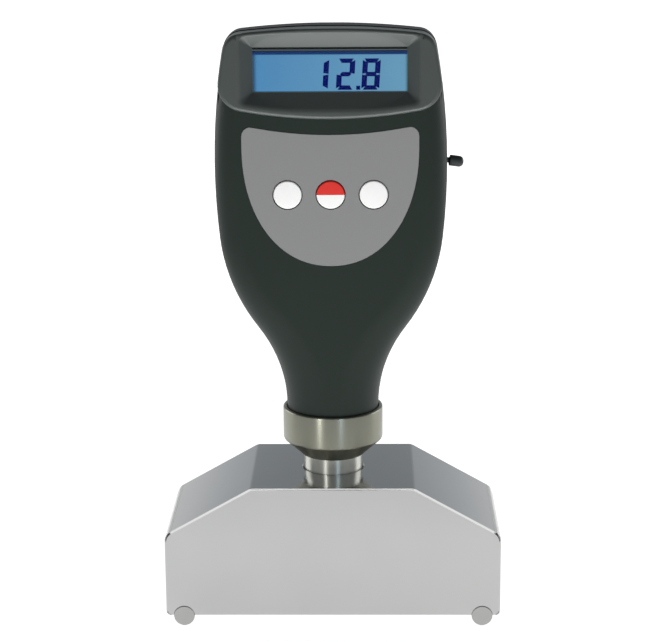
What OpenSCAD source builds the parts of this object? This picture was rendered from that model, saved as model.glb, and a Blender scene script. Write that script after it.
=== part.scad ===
// Mesh tension meter: a handheld gauge that stands on a two-rod base block.
// Millimetres, +Z up, the display faces -Y, and the origin is at the middle of the foot,
// on the surface that the two support rods stand on.

/* [Base block] */
// Width of the block, across the two rods
block_w = 95; // [88:1:120]
// Depth of the block, front to back
block_d = 42; // [38:1:60]
// Height of the block from its underside to its flat top
block_h = 38; // [34:1:50]
// Width of the flat top between the two slopes
block_top_w = 46; // [36:1:60]
// Height of the upright end faces
block_end_h = 24.2; // [18:0.2:30]
// Rounding where an end face turns into a slope
block_shoulder_r = 3.3; // [1:0.1:6]
// Bright chamfer round the front and the rear face
block_chamfer = 0.65; // [0.2:0.05:1.5]

/* [Support rods] */
// Diameter of the two rods
rod_d = 6; // [5:0.5:8]
// Distance from an end face to the middle of its rod
rod_inset = 5.1; // [4.6:0.1:9]
// Gap between a rod and its half-round groove
groove_gap = 0.03; // [0.02:0.01:0.1]

/* [Contact bar and spindle] */
// Length of the contact bar, front to back
bar_l = 22; // [18:1:23]
// Travel of the bar from flush with the rods outwards
bar_out = 1.5; // [0.5:0.1:2]
// Travel of the bar from flush with the rods inwards
bar_in = 0.3; // [0.1:0.1:0.8]
// Diameter of the spindle
spindle_d = 5; // [4:0.5:6]
// Running gap between the spindle and its bushes
spindle_gap = 0.03; // [0.02:0.01:0.08]
// Width of the saddle that holds the contact bar
carrier_w = 8; // [7:0.5:10]
// Height of the saddle that holds the contact bar
carrier_h = 5.5; // [5:0.5:7]
// Gap between the saddle and the pocket in the block
pocket_gap = 0.4; // [0.3:0.1:1]
// Depth of the pocket above the block's underside
pocket_h = 14; // [13:0.5:16]
// Height of the spindle's lock nut
nut_h = 3; // [2:0.5:3.5]
// Wire of the spindle spring
spring_wire = 0.8; // [0.5:0.1:1]
// Turns of the spindle spring
spring_turns = 5; // [3:1:8]

/* [Probe tube and collar] */
// Outer diameter of the probe tube
tube_d = 16.8; // [15:0.2:18]
// Bore of the probe tube
tube_bore = 14; // [12:0.5:14.4]
// Gap between the probe tube and the block's bore
tube_gap = 0.05; // [0.02:0.01:0.2]
// Height of the tube that shows between the block and the collar
stub_h = 4.4; // [2:0.2:10]
// Height of the collar's conical underside
cone_h = 4.3; // [2:0.1:6]
// Height of the collar's round wall
collar_h = 9.9; // [8:0.1:16]
// Outer diameter of the collar
collar_d = 28.6; // [28.2:0.2:32]
// Gap between the neck of the housing and the collar
collar_gap = 0.15; // [0.1:0.05:0.3]
// Thickness of the collar's floor above its cone
collar_floor = 2.3; // [1.5:0.1:4]
// Thickness of the probe tube's flange
flange_h = 2; // [1:0.2:3]

/* [Housing] */
// Height of the housing above the collar
housing_h = 109.1; // [104:0.5:130]
// Greatest width of the housing
housing_w = 64.3; // [62:0.1:72]
// Diameter of the round neck, which is also the depth of the two shells together
neck_d = 26.2; // [26:0.1:27]
// Wall of the two shells
wall = 2; // [1.6:0.1:2.2]
// Radius of the sides, seen from the front
side_r = 186; // [150:1:260]
// Radius of the crowned top
top_r = 220; // [150:1:400]
// Radius of the two top corners
corner_r = 5.2; // [5:0.1:8]
// Radius of the hollow curve above the neck
neck_curve_r = 41; // [30:1:50]
// Rounding of the long edges
edge_r = 7; // [5:0.5:8]

/* [Display] */
// Height of the raised frame round the display
bezel_h = 24.7; // [23:0.1:30]
// How far the frame stands out of the front face
bezel_rise = 1.4; // [0.5:0.1:2]
// Radius of the frame's curved lower edge
bezel_low_r = 136; // [100:1:300]
// Radius of the frame's two lower corners
bezel_corner_r = 7.3; // [5:0.1:10]
// Width of the window opening
window_w = 42; // [36:0.5:43]
// Height of the window opening
window_h = 12; // [10:0.5:13]
// Distance from the top of the housing down to the middle of the window
window_drop = 11.5; // [10.5:0.1:14]
// Depth of the funnel in front of the window
funnel_depth = 3.5; // [2:0.1:4]
// How far the funnel flares out at each side of the window
funnel_side = 3.6; // [2:0.1:4.4]
// Rounding of the funnel's four outer corners
funnel_corner_r = 2.5; // [0.5:0.1:4]
// Distance from the top of the housing down to the funnel
funnel_top_rim = 0.5; // [0.4:0.1:1.5]
// Width of the frame's rim under the funnel
funnel_low_rim = 2.5; // [1.8:0.1:4]
// Thickness of the clear window
window_t = 1; // [0.8:0.1:1.2]
// Thickness of the display glass
lcd_t = 1.8; // [1.5:0.1:2.2]

/* [Label and keys] */
// Half width of the grey label
label_half_w = 24.2; // [22:0.1:24.6]
// Height of the label's rounded lower part
label_low_h = 33; // [28:0.1:34]
// Height of the label's straight upper part
label_side_h = 5.6; // [3:0.1:7]
// Distance between the display frame and the label
label_drop = 4.3; // [3:0.1:6]
// Thickness of the label
label_t = 0.5; // [0.4:0.05:0.8]
// Diameter of a key
key_d = 7.7; // [6:0.1:9]
// Distance between the middles of two keys
key_pitch = 11.8; // [11:0.1:13]
// Distance from the top of the housing down to the keys
key_drop = 45.5; // [44:0.1:48]
// Gap round a key
key_gap = 0.3; // [0.25:0.01:0.4]
// Travel of a key
key_travel = 0.4; // [0.2:0.05:0.6]

/* [Batteries] */
// Diameter of one cell
cell_d = 10.5; // [10:0.1:10.5]
// Length of one cell
cell_l = 44.5; // [43:0.1:44.5]
// Distance between the middles of two cells
cell_pitch = 10.8; // [10.6:0.1:10.9]
// How far the cover stands out of the rear face
cover_rise = 0.4; // [0.2:0.1:0.8]

/* [Side lever] */
// Distance from the top of the housing down to the lever
lever_drop = 37.7; // [34:0.1:40]
// Length of the lever outside the housing
lever_out = 4.8; // [3:0.1:8]
// Diameter of the lever's tip
lever_tip_d = 3.1; // [2.4:0.1:4]
// Tilt of the lever to each side of the middle, in degrees
lever_tilt = 8; // [4:1:10]

/* [Hidden] */
$fn = 64;
// A cut runs this far past the face that it opens
past = 1;

// Heights, from the floor up
rod_r = rod_d / 2;
block_z1 = rod_r + block_h;
collar_z0 = block_z1 + stub_h;
collar_z1 = collar_z0 + cone_h;
collar_z2 = collar_z1 + collar_h;
flange_z0 = collar_z1 + collar_floor;
neck_z0 = flange_z0 + flange_h;
top_z = collar_z2 + housing_h;

// Foot
rod_x = block_w / 2 - rod_inset;
half_w = block_w / 2;
half_top = block_top_w / 2;
half_d = block_d / 2;
slope_angle = atan2(block_h - block_end_h, half_w - half_top);
pocket_z1 = rod_r + pocket_h;
tube_z0 = pocket_z1 + 3;
spindle_r = spindle_d / 2;
carrier_z0 = rod_r + 1.5;
carrier_z1 = carrier_z0 + carrier_h;
carrier_l = bar_l - 3;
spindle_z0 = carrier_z1 - 2;
nut_d = 9;
tube_r = tube_d / 2;
bore_r = tube_bore / 2;
lip_h = 1;
bush_gap = 0.02;
lower_bush_z0 = tube_z0 + lip_h;
lower_bush_h = 10;
lower_bush_z1 = lower_bush_z0 + lower_bush_h;
shoulder_z0 = lower_bush_z1 + bar_out;
shoulder_h = 2;
shoulder_r = spindle_r + 2.7;
upper_bush_z0 = neck_z0 - 10;
clamp_z = tube_z0 + 11;
clamp_r = 2;
clamp_depth = 4.6;
clamp_l = half_d - tube_r - clamp_depth;
spring_z0 = shoulder_z0 + shoulder_h;
spring_r = spindle_r + 1.7;

// Sensor in the neck
bobbin_z0 = neck_z0;
bobbin_h = 22;
bobbin_r = 9;
bobbin_flange = 1.5;
core_r = 3.2;
core_gap = 0.4;
core_h = 14;
core_z0 = bobbin_z0 + 4;
pin_r = 1.5;
bobbin_wall = 1;
lead_d = 2.4;
lead_x = 6.5;

// Housing
neck_r = neck_d / 2;
half_house = housing_w / 2;
widest_z = top_z - 38.8;
waist_z = top_z - 58.6;
neck_z1 = collar_z2;
inner_y = neck_r - wall;
side_c = [half_house - side_r, widest_z];
top_c = [0, top_z - top_r];
neck_c = [neck_r + neck_curve_r, neck_z1];

// Display, from the front to the rear
bezel_y = neck_r + bezel_rise;
bezel_seat_y = 5.5;
bezel_wall = 2;
bezel_inset = 0.2;
bezel_fillet = 1.2;
bezel_z0 = top_z - bezel_h;
funnel_y = bezel_y - funnel_depth;
plate_t = 1.2;
window_z = top_z - window_drop;
window_y = funnel_y - plate_t;
lcd_y = window_y - window_t;
light_y = lcd_y - lcd_t;
glass_w = window_w + 4;
glass_h = window_h + 2.8;
strip_h = 1.6;
board_y = light_y - 2.6;
board_t = 1.6;
board_rear_y = board_y - board_t;
board_half_w = glass_w / 2 + 0.3;
board_low_half_w = 20;
board_step_z = window_z - glass_h / 2 - 1;
board_z0 = top_z - 72.7;
board_z1 = top_z - 3.7;

plug_y = board_rear_y - 1.5;
plug_z0 = board_z0 + 2;

// Label and keys
label_y = neck_r + 0.1;
label_top_r = 109;
label_corner = 2.5;
label_top_rise = pow(label_half_w - label_corner, 2) / (2 * label_top_r);
label_c_z = bezel_z0 - label_drop - label_side_h + label_top_rise;
// How full the label's lower curve is: 2 gives an ellipse
label_fullness = 2.14;
key_z = top_z - key_drop;
key_r = key_d / 2;
key_y = label_y + 0.2;
key_flange_r = key_r + 0.7;
key_flange_y = inner_y;
switch_h = 3.5;
switch_w = 6;
switch_tip_h = 1;
key_stem_y = board_y + switch_h + switch_tip_h + key_travel + 0.2;

// Rear of the housing
cell_r = cell_d / 2;
tray_floor_y = -0.8;
tray_wall = 1.2;
tray_ledge = 0.6;
tray_half_w = 2 * cell_pitch;
tray_l = cell_l + 5.5;
tray_z0 = top_z - 68.7;
tray_z1 = tray_z0 + tray_l;
cover_seat_y = inner_y + 0.1;
cell_y = tray_floor_y + tray_wall + cell_r + 0.2;
cover_gap = 0.2;
cover_r = 2;
cover_y = neck_r + cover_rise;
plate_thick = 0.5;
nub_h = 0.9;
contact_w = cell_d - 1.5;
cell_z0 = tray_z1 - plate_thick - cell_l;
tray_mid_z = (tray_z0 + tray_z1) / 2;

// Screws: [x, height below the top of the housing]
shell_screw_at = [[25.9, 27.7], [14, 78.7]];
board_screw_at = [[board_low_half_w - 2, 29.7], [board_low_half_w - 2, 68.7]];
boss_r = 2.6;
rear_boss_r = 3.2;
screw_r = 1.1;
screw_head_r = 2.2;
shell_head_y = 6;

// Side lever
lever_z = top_z - lever_drop;
pivot_x = half_house - 2.6;
lever_neck_r = 0.75;
ball_r = 1.8;
lever_hole_r = 2;

// Round surfaces of the polyhedra
edge_steps = 9;
inner_edge_steps = 5;
// A half outline stops just short of the middle, at these angles of its top and bottom arc
top_stop = 89.2;
low_start = -89.6;
// Angle that the label's upper corners turn through
label_turn = 84;

// Where two circles cross, on the right of the line from a to b
function cross_right(a, ra, b, rb) =
    let (
        d = norm(b - a),
        u = (b - a) / d,
        along = (ra * ra - rb * rb + d * d) / (2 * d),
        side = sqrt(ra * ra - along * along)
    )
    a + along * u + side * [u[1], -u[0]];

function angle_of(v) = atan2(v[1], v[0]);

// Points on an arc with the outward normal at each: [x, z, normal x, normal z]
function arc(c, r, a0, a1, n, out = 1) = [
    for (i = [0 : n])
        let (a = a0 + (a1 - a0) * i / n)
        [c[0] + r * cos(a), c[1] + r * sin(a), out * cos(a), out * sin(a)]
];

// The waist curve touches the side curve at waist_z and the neck curve lower down
waist_dir = [sqrt(side_r * side_r - pow(waist_z - widest_z, 2)), waist_z - widest_z] / side_r;
span = side_c - neck_c;
reach = side_r + neck_curve_r;
waist_q = (reach * reach - span * span) / (2 * (span * waist_dir + reach));
waist_r = side_r - waist_q;
waist_c = side_c + waist_q * waist_dir;
corner_c = cross_right(top_c, top_r - corner_r, side_c, side_r - corner_r);

// Right half of the housing's outline from the neck to the middle of the top
function half_outline(z0, steps) =
    let (
        meet = angle_of(neck_c - waist_c),
        turn_a = angle_of(waist_dir),
        corner_a0 = angle_of(corner_c - side_c),
        corner_a1 = angle_of(corner_c - top_c)
    )
    concat(
        [[neck_r, z0, 1, 0]],
        arc(neck_c, neck_curve_r, 180, 180 + meet, steps, -1),
        [for (p = arc(waist_c, waist_r, meet, turn_a, steps)) if (p[3] > sin(meet) + 0.01) p],
        [for (p = arc(side_c, side_r, turn_a, corner_a0, steps)) if (p[3] > waist_dir[1] + 0.001) p],
        [for (p = arc(corner_c, corner_r, corner_a0, corner_a1, steps)) if (p[3] > sin(corner_a0) + 0.01) p],
        [for (p = arc(top_c, top_r, corner_a1, top_stop, steps)) if (p[3] > sin(corner_a1) + 0.0001) p]
    );

function mirrored(points) = [for (i = [len(points) - 1 : -1 : 0])
    let (p = points[i]) [-p[0], p[1], -p[2], p[3]]];

function smooth(t) = let (s = min(1, max(0, t))) s * s * (3 - 2 * s);

// Rounding of the long edge at a height: full at the neck, edge_r along the body, small at the top
function inset_r(z) =
    let (
        low = smooth((z - neck_z1) / (waist_z - neck_z1)),
        high = smooth((z - widest_z - 20) / 14)
    )
    (neck_r - 0.05) * (1 - low) + edge_r * (low - high) + (corner_r - 0.5) * high;

function depth_r(z, rear) =
    let (
        low = smooth((z - neck_z1) / (waist_z - neck_z1)),
        high = smooth((z - widest_z - 20) / 14)
    )
    (neck_r - 0.05) * (1 - low) + edge_r * (low - high) + (rear ? neck_r - 0.1 : edge_r) * high;

// One ring of a shell's surface: side is -1 for the front half and 1 for the rear half
function shell_ring(outline, side, off, a) = [
    for (p = outline)
        let (
            in = inset_r(p[1]) - off,
            deep = depth_r(p[1], side > 0) - off,
            shift = off + in * (1 - cos(a))
        )
        [p[0] - p[2] * shift, side * (neck_r - off - deep + deep * sin(a)), p[1] - p[3] * shift]
];

function base_ring(outline, y, off) = [for (p = outline) [p[0] - p[2] * off, y, p[1] - p[3] * off]];

// A closed solid through rings of equally many points. Each end is closed by rungs between
// the two halves of its ring, because an end with a hollow outline can't be closed as a fan.
module stack(rings, flip = false) {
    n = len(rings[0]);
    m = len(rings);
    end = (m - 1) * n;
    points = [for (r = rings) each r];
    rungs = [for (i = [0 : n / 2 - 2]) [i, i + 1, n - 2 - i, n - 1 - i]];
    first = rungs;
    last = [for (f = rungs) [end + f[3], end + f[2], end + f[1], end + f[0]]];
    sides = [
        for (k = [0 : m - 2], i = [0 : n - 1])
            let (a = k * n + i, b = k * n + (i + 1) % n, c = b + n, d = a + n)
            each [[a, d, b], [b, d, c]]
    ];
    faces = concat(first, sides, last);
    polyhedron(points, flip ? [for (f = faces) [for (i = [len(f) - 1 : -1 : 0]) f[i]]] : faces);
}

// Half of the housing as a solid, off millimetres inside its outer surface
module half_body(side, off, z0, y0, outline_steps, rim_steps) {
    right = half_outline(z0, outline_steps);
    outline = concat(right, mirrored(right));
    rings = concat(
        y0 == 0 ? [] : [base_ring(outline, -side * y0, off)],
        [base_ring(outline, 0, off)],
        [for (i = [0 : rim_steps]) shell_ring(outline, side, off, 90 * i / rim_steps)]
    );
    stack(rings, side > 0);
}

module half_shell(side) {
    difference() {
        half_body(side, 0, neck_z0, 0, 10, edge_steps);
        half_body(side, wall, neck_z0 - past, past, 5, inner_edge_steps);
    }
}

// A round bar or a flat form that points from the front to the rear
module along_y(x, z, y0, y1) {
    translate([x, max(y0, y1), z]) rotate([90, 0, 0]) linear_extrude(abs(y1 - y0)) children();
}

module rounded_rect(w, h, r) {
    square([w, h - 2 * r], center = true);
    square([w - 2 * r, h], center = true);
    for (x = [-1, 1], z = [-1, 1]) translate([x * (w / 2 - r), z * (h / 2 - r)]) circle(r);
}

module both_sides() {
    children();
    mirror([1, 0, 0]) children();
}

// A wire of round section wound into a compression spring, with a flat ring at both ends
module coil(r, wire, height, turns, r_top) {
    ring_sides = 6;
    steps = 10 * turns;
    rings = [
        for (k = [0 : steps])
            let (
                a = 360 * turns * k / steps,
                radius = r + (r_top - r) * k / steps,
                z = wire / 2 + (height - wire) * k / steps
            )
            [for (i = [0 : ring_sides - 1])
                let (b = 30 + 360 * i / ring_sides)
                [(radius + wire / 2 * cos(b)) * cos(a), (radius + wire / 2 * cos(b)) * sin(a),
                    z + wire / 2 * sin(b)]]
    ];
    stack(rings, true);
}

// Outline of the block seen from the front, drawn in by a margin
module block_outline(margin) {
    low_r = 1.3;
    r = block_shoulder_r;
    turn = r * tan((90 - slope_angle) / 2);
    end = half_w - margin;
    z0 = rod_r + margin;
    shoulder_z = rod_r + block_end_h - margin * tan((90 - slope_angle) / 2);
    top_x = half_top - margin * tan(slope_angle / 2);
    low = [
        for (i = [0 : 4])
            let (a = -90 + 90 * i / 4)
            [end - low_r + low_r * cos(a), z0 + low_r + low_r * sin(a)]
    ];
    shoulder = [
        for (i = [0 : 6])
            let (a = (90 - slope_angle) * i / 6)
            [end - r + r * cos(a), shoulder_z - turn + r * sin(a)]
    ];
    right = concat(low, shoulder, [[top_x, block_z1 - margin]]);
    left = [for (i = [len(right) - 1 : -1 : 0]) [-right[i][0], right[i][1]]];
    polygon(concat(right, left));
}

module base_block() {
    thin = 0.01;
    color("silver") difference() {
        hull() {
            along_y(0, 0, -half_d, -half_d + thin) block_outline(block_chamfer);
            along_y(0, 0, half_d - thin, half_d) block_outline(block_chamfer);
            along_y(0, 0, block_chamfer - half_d, half_d - block_chamfer) block_outline(0);
        }
        both_sides() along_y(rod_x, rod_r, -half_d - past, half_d + past) circle(rod_r + groove_gap);
        pocket_w = carrier_w + 2 * pocket_gap;
        pocket_l = bar_l + 2;
        translate([-pocket_w / 2, -pocket_l / 2, rod_r - past]) cube([pocket_w, pocket_l, pocket_h + past]);
        cylinder(r = spindle_r + 1.5, h = tube_z0 + past);
        translate([0, 0, tube_z0]) cylinder(r = tube_r + tube_gap, h = block_z1 - tube_z0 + past);
        rim = 0.55;
        translate([0, 0, block_z1 - rim])
            cylinder(r1 = tube_r + tube_gap, r2 = tube_r + tube_gap + rim + past, h = rim + past);
        along_y(0, clamp_z, 0, half_d + past) circle(clamp_r + 0.05);
    }
}

module clamp_screw() {
    color("dimgray") difference() {
        along_y(0, clamp_z, tube_r, tube_r + clamp_l) circle(clamp_r);
        along_y(0, clamp_z, tube_r + clamp_l - 2.5, tube_r + clamp_l + past) circle(1.1, $fn = 6);
    }
}

// A round pin from the front to the rear, with both rims chamfered
module pin(l, rim) {
    translate([0, l / 2, rod_r]) rotate([90, 0, 0]) rotate_extrude() polygon([
        [0, 0], [rod_r - rim, 0], [rod_r, rim], [rod_r, l - rim], [rod_r - rim, l], [0, l]
    ]);
}

module support_rods() {
    color("gainsboro") both_sides() translate([rod_x, 0, 0]) pin(block_d, 0.3);
}

module contact_bar() {
    color("gainsboro") pin(bar_l, 0.4);
}

module bar_carrier() {
    color("silver") difference() {
        translate([-carrier_w / 2, -carrier_l / 2, carrier_z0]) cube([carrier_w, carrier_l, carrier_h]);
        along_y(0, rod_r, -carrier_l, carrier_l) circle(rod_r + bush_gap);
        translate([0, 0, spindle_z0]) cylinder(r = spindle_r + bush_gap, h = carrier_h);
    }
}

module lock_nut() {
    color("gray") translate([0, 0, carrier_z1]) rotate([0, 0, 30]) difference() {
        cylinder(d = nut_d, h = nut_h, $fn = 6);
        translate([0, 0, -past]) cylinder(r = spindle_r + bush_gap, h = nut_h + 2 * past);
    }
}

module spindle() {
    pin_top = core_z0 + core_h - 2;
    color("lightgray") rotate_extrude() polygon([
        [0, spindle_z0], [spindle_r, spindle_z0], [spindle_r, shoulder_z0], [shoulder_r, shoulder_z0],
        [shoulder_r, spring_z0], [spindle_r, spring_z0], [spindle_r, core_z0], [pin_r, core_z0],
        [pin_r, pin_top], [0, pin_top]
    ]);
}

module spindle_spring() {
    color("gray") translate([0, 0, spring_z0])
        coil(spring_r, spring_wire, upper_bush_z0 - spring_z0, spring_turns, spring_r);
}

module bush(z0, z1) {
    color("goldenrod") translate([0, 0, z0]) difference() {
        cylinder(r = bore_r - bush_gap, h = z1 - z0);
        translate([0, 0, -past]) cylinder(r = spindle_r + spindle_gap, h = z1 - z0 + 2 * past);
    }
}

module lower_bush() { bush(lower_bush_z0, lower_bush_z1); }

module upper_bush() { bush(upper_bush_z0, neck_z0); }

module probe_tube() {
    flange_r = neck_r - 0.2;
    color("darkgray") rotate_extrude() polygon([
        [bore_r - 1.2, tube_z0], [tube_r - 0.4, tube_z0], [tube_r, tube_z0 + 0.4], [tube_r, flange_z0],
        [flange_r, flange_z0], [flange_r, neck_z0], [bore_r, neck_z0], [bore_r, lower_bush_z0],
        [bore_r - 1.2, lower_bush_z0]
    ]);
}

function rim_point(c_r, c_z, r, a) = [c_r + r * cos(a), c_z + r * sin(a)];

module collar() {
    r = collar_d / 2;
    round_r = 0.9;
    hole_r = tube_r + tube_gap;
    cup_r = neck_r + collar_gap;
    round_c = r - round_r;
    low_round = [for (i = [0 : 4]) rim_point(round_c, collar_z1 + round_r, round_r, -50 + 50 * i / 4)];
    top_round = [for (i = [0 : 4]) rim_point(round_c, collar_z2 - round_r, round_r, 75 * i / 4)];
    color("darkgray") rotate_extrude() polygon(concat(
        [[hole_r, collar_z0], [hole_r + 0.5, collar_z0]],
        low_round,
        top_round,
        [[cup_r, collar_z2], [cup_r, flange_z0], [hole_r, flange_z0]]
    ));
}

module sensor_core() {
    color("dimgray") translate([0, 0, core_z0]) difference() {
        cylinder(r = core_r, h = core_h);
        translate([0, 0, -past]) cylinder(r = pin_r + bush_gap, h = core_h - 2 + past);
    }
}

module coil_bobbin() {
    inner = core_r + core_gap;
    outer = inner + bobbin_wall;
    z1 = bobbin_z0 + bobbin_h;
    color("ivory") rotate_extrude() polygon([
        [inner, bobbin_z0], [bobbin_r, bobbin_z0], [bobbin_r, bobbin_z0 + bobbin_flange],
        [outer, bobbin_z0 + bobbin_flange], [outer, z1 - bobbin_flange], [bobbin_r, z1 - bobbin_flange],
        [bobbin_r, z1], [inner, z1]
    ]);
}

module coil_winding() {
    inner = core_r + core_gap + bobbin_wall;
    color("sienna") translate([0, 0, bobbin_z0 + bobbin_flange]) difference() {
        cylinder(r = bobbin_r - 0.8, h = bobbin_h - 2 * bobbin_flange);
        translate([0, 0, -past]) cylinder(r = inner, h = bobbin_h);
    }
}

module sensor_lead() {
    z0 = bobbin_z0 + bobbin_h;
    color("black") translate([lead_x, -plug_y, z0]) cylinder(d = lead_d, h = plug_z0 - z0);
}

module lead_plug() {
    color("ivory") translate([lead_x - 4, -board_rear_y, plug_z0]) cube([8, 1.8, 5]);
}

// A screw whose head rests at head_y and whose tip points to the front
module screw_to_front(head_y, head_h, length, head_r) {
    along_y(0, 0, head_y, head_y + head_h) difference() {
        circle(head_r);
        square([head_r, 0.5], center = true);
        square([0.5, head_r], center = true);
    }
    along_y(0, 0, head_y - length, head_y) circle(screw_r);
}

module at_screws(places) {
    both_sides() for (p = places) translate([p[0], 0, top_z - p[1]]) children();
}

module front_shell() {
    color("darkslategray") difference() {
        union() {
            half_shell(-1);
            at_screws(shell_screw_at) along_y(0, 0, -inner_y - 0.3, -0.05) circle(boss_r);
            at_screws(board_screw_at) along_y(0, 0, -inner_y - 0.3, -board_y) circle(boss_r);
        }
        at_screws(shell_screw_at) along_y(0, 0, -9, past) circle(screw_r + 0.05);
        at_screws(board_screw_at) along_y(0, 0, -9.5, past) circle(screw_r + 0.05);
        along_y(0, 0, -neck_r - 2 * past, -bezel_seat_y) bezel_recess();
        along_y(0, 0, -neck_r - past, -label_y + label_t) label_outline(0.1);
        for (x = [-1, 0, 1])
            along_y(x * key_pitch, key_z, -neck_r - past, -inner_y + past) circle(key_r + key_gap);
        lever_hole();
    }
}

module lever_hole() {
    translate([half_house - wall - past, 0, lever_z]) rotate([0, 90, 0])
        cylinder(r = lever_hole_r, h = wall + 3 * past);
}

module rear_shell() {
    tray_h = tray_l + 2 * tray_wall;
    tray_w = 2 * (tray_half_w + tray_wall);
    open_w = 2 * (tray_half_w + tray_ledge);
    open_h = tray_l + 2 * tray_ledge;
    color("darkslategray") difference() {
        union() {
            half_shell(1);
            at_screws(shell_screw_at) along_y(0, 0, 0.05, inner_y + 0.3) circle(rear_boss_r);
            translate([-tray_w / 2, tray_floor_y, tray_z0 - tray_wall])
                cube([tray_w, cover_seat_y - tray_floor_y, tray_h]);
        }
        translate([-tray_half_w, tray_floor_y + tray_wall, tray_z0]) cube([2 * tray_half_w, neck_r, tray_l]);
        along_y(0, tray_mid_z, cover_seat_y, neck_r + past) rounded_rect(open_w, open_h, cover_r + cover_gap);
        at_screws(shell_screw_at) along_y(0, 0, -past, neck_r) circle(screw_r + 0.2);
        at_screws(shell_screw_at) along_y(0, 0, shell_head_y, neck_r + past) circle(screw_head_r + 0.3);
        lever_hole();
    }
}

module shell_screws() {
    head_h = 1.6;
    color("dimgray") at_screws(shell_screw_at)
        screw_to_front(shell_head_y, head_h, shell_head_y + 8, screw_head_r);
}

module board_screws() {
    color("gray") at_screws(board_screw_at) screw_to_front(-board_rear_y, 1.2, 6, screw_head_r - 0.2);
}

// Lower edge and corners of the display frame, from the left to the right
bezel_low_c = [0, bezel_z0 + bezel_low_r];
bezel_side_r = side_r - bezel_inset;
bezel_turn_c = cross_right(side_c, bezel_side_r - bezel_corner_r, bezel_low_c, bezel_low_r - bezel_corner_r);

function bezel_low(grow) =
    let (
        a0 = angle_of(bezel_turn_c - bezel_low_c),
        a1 = angle_of(bezel_turn_c - side_c)
    )
    concat(
        arc(bezel_low_c, bezel_low_r + grow, low_start, a0, 8),
        [for (p = arc(bezel_turn_c, bezel_corner_r + grow, a0, a1, 8)) if (p[3] > sin(a0) + 0.01) p]
    );

// The display frame's right half outline from the bottom to the top
function bezel_half() =
    let (
        a1 = angle_of(bezel_turn_c - side_c),
        corner_a0 = angle_of(corner_c - side_c),
        corner_a1 = angle_of(corner_c - top_c)
    )
    concat(
        bezel_low(0),
        [for (p = arc(side_c, bezel_side_r, a1, corner_a0, 4)) if (p[3] > sin(a1) + 0.001) p],
        [
            for (p = arc(corner_c, corner_r - bezel_inset, corner_a0, corner_a1, 8))
                if (p[3] > sin(corner_a0) + 0.01) p
        ],
        [
            for (p = arc(top_c, top_r - bezel_inset, corner_a1, top_stop, 8))
                if (p[3] > sin(corner_a1) + 0.0001) p
        ]
    );

module bezel_recess() {
    cut_z = bezel_turn_c[1] + 0.7;
    far = housing_w;
    low = [for (p = bezel_low(0.1)) if (p[1] < cut_z) [p[0], p[1]]];
    edge = concat(low, [[far, cut_z], [far, top_z + far]]);
    polygon(concat(edge, [for (i = [len(edge) - 1 : -1 : 0]) [-edge[i][0], edge[i][1]]]));
}

module funnel_cut() {
    land = 0.3;
    spread = 1 + past / funnel_depth;
    w = window_w / 2 + funnel_side * spread;
    up = top_z - funnel_top_rim - window_z;
    down = window_z - bezel_z0 - funnel_low_rim;
    far_top = window_h / 2 + (up - window_h / 2) * spread;
    far_low = window_h / 2 + (down - window_h / 2) * spread;
    steps = 8;
    crown = [for (i = [0 : steps]) let (x = w * (1 - 2 * i / steps)) [x, far_top - x * x / (2 * top_r)]];
    sag = [for (i = [0 : steps]) let (x = w * (2 * i / steps - 1)) [x, x * x / (2 * bezel_low_r) - far_low]];
    hull() {
        along_y(0, window_z, -bezel_y - past - 0.01, -bezel_y - past)
            offset(r = funnel_corner_r, $fn = 32) offset(delta = -funnel_corner_r)
                polygon(concat(crown, sag));
        along_y(0, window_z, -funnel_y - 0.01, -funnel_y)
            square([window_w + land, window_h + land], center = true);
    }
}

module display_bezel() {
    right = bezel_half();
    outline = concat(right, mirrored(right));
    rings = concat(
        [base_ring(outline, -bezel_seat_y, 0)],
        [for (i = [0 : 4])
            let (a = 90 * i / 4)
            base_ring(outline, -bezel_y + bezel_fillet * (1 - sin(a)), bezel_fillet * (1 - cos(a)))]
    );
    cavity = [for (p = outline) [p[0] - p[2] * bezel_wall, p[1] - p[3] * bezel_wall]];
    color("dimgray") difference() {
        stack(rings);
        along_y(0, 0, -window_y, -bezel_seat_y + past) polygon(cavity);
        along_y(0, window_z, -funnel_y - past, -window_y + past) square([window_w, window_h], center = true);
        funnel_cut();
    }
}

module display_window() {
    color("lightblue", 0.4) along_y(0, window_z, -window_y, -lcd_y) rounded_rect(glass_w, glass_h, 0.8);
}

module lcd_panel() {
    color("steelblue") along_y(0, window_z, -lcd_y, -light_y) square([glass_w, glass_h + 0.2], center = true);
}

module backlight() {
    h = glass_h - 2 * strip_h - 0.4;
    color("white") along_y(0, window_z, -light_y, -board_y) square([glass_w, h], center = true);
}

module lcd_connectors() {
    color("dimgray") for (s = [-1, 1])
        along_y(0, window_z + s * (glass_h - strip_h) / 2, -light_y, -board_y)
            square([glass_w - 2, strip_h], center = true);
}

// Outline of the grey label, seen from the front, grown by a margin
module label_outline(margin) {
    a = label_half_w + margin;
    b = label_low_h + margin;
    steps = 24;
    full = 2 / label_fullness;
    low = [
        for (i = [0 : 2 * steps])
            let (t = 90 * (i / steps - 1))
            [a * sign(t) * pow(abs(sin(t)), full), label_c_z - b * pow(cos(t), full)]
    ];
    corner = label_corner;
    side_z = label_c_z + label_side_h - corner;
    top_mid = bezel_z0 - label_drop + margin;
    right = [for (i = [0 : 4]) rim_point(a - corner, side_z, corner, label_turn * i / 4)];
    inner_x = a - corner + corner * cos(label_turn);
    crown = [for (i = [1 : 15]) let (x = inner_x * (1 - i / 8)) [x, top_mid + x * x / (2 * label_top_r)]];
    left = [for (i = [4 : -1 : 0]) [-right[i][0], right[i][1]]];
    polygon(concat(low, right, crown, left));
}

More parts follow.
